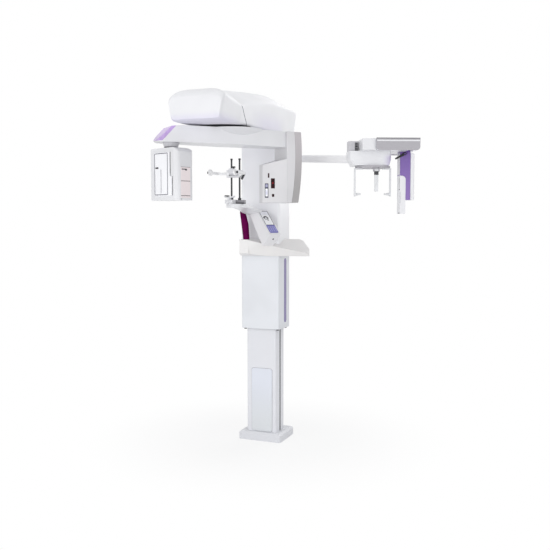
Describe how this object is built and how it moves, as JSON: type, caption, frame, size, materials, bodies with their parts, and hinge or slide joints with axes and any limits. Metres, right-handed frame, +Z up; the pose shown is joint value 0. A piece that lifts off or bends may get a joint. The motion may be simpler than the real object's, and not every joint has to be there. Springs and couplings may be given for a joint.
{
  "type": "dental panoramic and cephalometric x-ray scanner",
  "caption": "Column-mounted dental x-ray scanner: lifting carriage, crown with rotating tube and detector arm, head support, and a side arm with cephalostat and sliding detector.",
  "frame": {"origin": "centre of the floor anchor pattern, on the floor under the column's axis", "axes": "+Z up the column, -Y to the patient's side, +X to the side with the cephalometric arm"},
  "size_m": [1.3401, 1.0864, 2.1119],
  "materials": {
    "white_metal": "satin white enamel",
    "white_shell": "satin white moulding",
    "pearl_shell": "pearl grey moulding",
    "grey_trim": "fine matt grey",
    "dark_trim": "matt dark grey",
    "lilac_trim": "pearlescent lilac",
    "violet_trim": "satin violet",
    "plum_grip": "soft plum coating",
    "steel": "plain steel",
    "display": "clear-coated white film",
    "keys": "printed violet-blue film",
    "red_glass": "tinted dark red window",
    "rose_panel": "matt rose-tinted panel"
  },
  "bodies": {
    "column": {"floor_plate": "steel", "base_cover": "white_metal", "column": "white_metal", "service_door": "white_metal", "lift_actuator": "dark_trim", "wall_bracket": "white_metal"},
    "carriage": {"carriage_frame": "steel", "guide_pads": "dark_trim", "lift_rod": "steel", "lower_cover": "white_shell", "accent_strips": "violet_trim", "upper_cover": "white_shell", "shelf": "white_shell", "hand_grip": "plum_grip", "console": "pearl_shell", "display_panel": "display", "keypad": "keys", "support_arm": "white_shell", "guide_rods": "dark_trim", "chin_base": "white_shell", "rod_block": "dark_trim", "chin_rest": "white_shell", "bite_block": "dark_trim", "crown_plate": "steel", "crown_rear": "white_shell", "crown_front_shell": "white_shell", "slew_bearing": "dark_trim", "rotation_motor": "steel", "ceph_bracket": "white_metal", "ceph_arm": "white_metal", "ceph_head": "white_shell", "ceph_junction": "grey_trim", "rail_housing": "white_shell", "rail_end_plates": "grey_trim"},
    "c_arm": {"arm_hub": "steel", "arm_beam": "white_shell", "beam_tip": "lilac_trim", "arm_fin": "white_shell", "fin_edge": "grey_trim", "tube_housing": "pearl_shell", "tube_block": "steel", "laser_windows": "red_glass", "light_slider": "keys", "swivel_collar": "dark_trim"},
    "detector": {"detector_housing": "white_shell", "detector_cassette": "white_shell", "detector_panel": "rose_panel"},
    "head_clamp": {"clamp_carriage": "grey_trim"},
    "temple_right": {"temple_arm_right": "white_shell"},
    "temple_left": {"temple_arm_left": "white_shell"},
    "clamp_lever": {"lock_lever": "dark_trim"},
    "cephalostat": {"turntable": "grey_trim"},
    "ear_right": {"ear_arm_right": "pearl_shell"},
    "ear_left": {"ear_arm_left": "pearl_shell"},
    "nasion": {"nasion_rest": "pearl_shell"},
    "ceph_detector": {"sensor_bracket": "violet_trim", "bracket_cover": "white_shell", "ceph_sensor": "white_shell"},
    "release": {"release_lever": "dark_trim"}
  },
  "joints": [
    {"name": "lift", "type": "slide", "parent": "column", "child": "carriage", "axis": [0, 0, 1], "range_m": [-0.63, 0.1]},
    {"name": "arm_rotation", "type": "hinge", "parent": "carriage", "child": "c_arm", "pos_m": [0, -0.58, 1.862], "axis": [0, 0, 1], "range_deg": [-270, 0]},
    {"name": "detector_swivel", "type": "hinge", "parent": "c_arm", "child": "detector", "pos_m": [-0.19541, -0.81288, 1.745], "axis": [0, 0, 1], "range_deg": [-60, 25]},
    {"name": "clamp_height", "type": "slide", "parent": "carriage", "child": "head_clamp", "axis": [0, 0, 1], "range_m": [-0.05, 0.04]},
    {"name": "temple_right_swing", "type": "hinge", "parent": "head_clamp", "child": "temple_right", "pos_m": [0.038, -0.454, 1.628], "axis": [0, 0, 1], "range_deg": [-8, 15]},
    {"name": "temple_left_swing", "type": "hinge", "parent": "head_clamp", "child": "temple_left", "pos_m": [-0.038, -0.454, 1.628], "axis": [0, 0, 1], "range_deg": [-15, 8]},
    {"name": "clamp_lever_turn", "type": "hinge", "parent": "head_clamp", "child": "clamp_lever", "pos_m": [0.048, -0.432, 1.628], "axis": [1, 0, 0], "range_deg": [0, 80]},
    {"name": "cephalostat_turn", "type": "hinge", "parent": "carriage", "child": "cephalostat", "pos_m": [0.747, -0.252, 1.664], "axis": [0, 0, 1], "range_deg": [-90, 0]},
    {"name": "ear_right_slide", "type": "slide", "parent": "cephalostat", "child": "ear_right", "axis": [-0.9063, -0.4226, 0], "range_m": [0, 0.045]},
    {"name": "ear_left_slide", "type": "slide", "parent": "cephalostat", "child": "ear_left", "axis": [0.9063, 0.4226, 0], "range_m": [0, 0.045]},
    {"name": "nasion_swing", "type": "hinge", "parent": "cephalostat", "child": "nasion", "pos_m": [0.78227, -0.30396, 1.641], "axis": [0.9063, 0.4226, 0], "range_deg": [-80, 0]},
    {"name": "ceph_scan", "type": "slide", "parent": "carriage", "child": "ceph_detector", "axis": [-0.4226, 0.9063, 0], "range_m": [-0.1, 0.1]},
    {"name": "release_turn", "type": "hinge", "parent": "ceph_detector", "child": "release", "pos_m": [0.91623, -0.21502, 1.729], "axis": [-0.4226, 0.9063, 0], "range_deg": [-40, 15]}
  ],
  "couplings": [
    {"joint": "temple_left_swing", "follows": "temple_right_swing", "ratio": -1},
    {"joint": "ear_left_slide", "follows": "ear_right_slide", "ratio": 1}
  ]
}
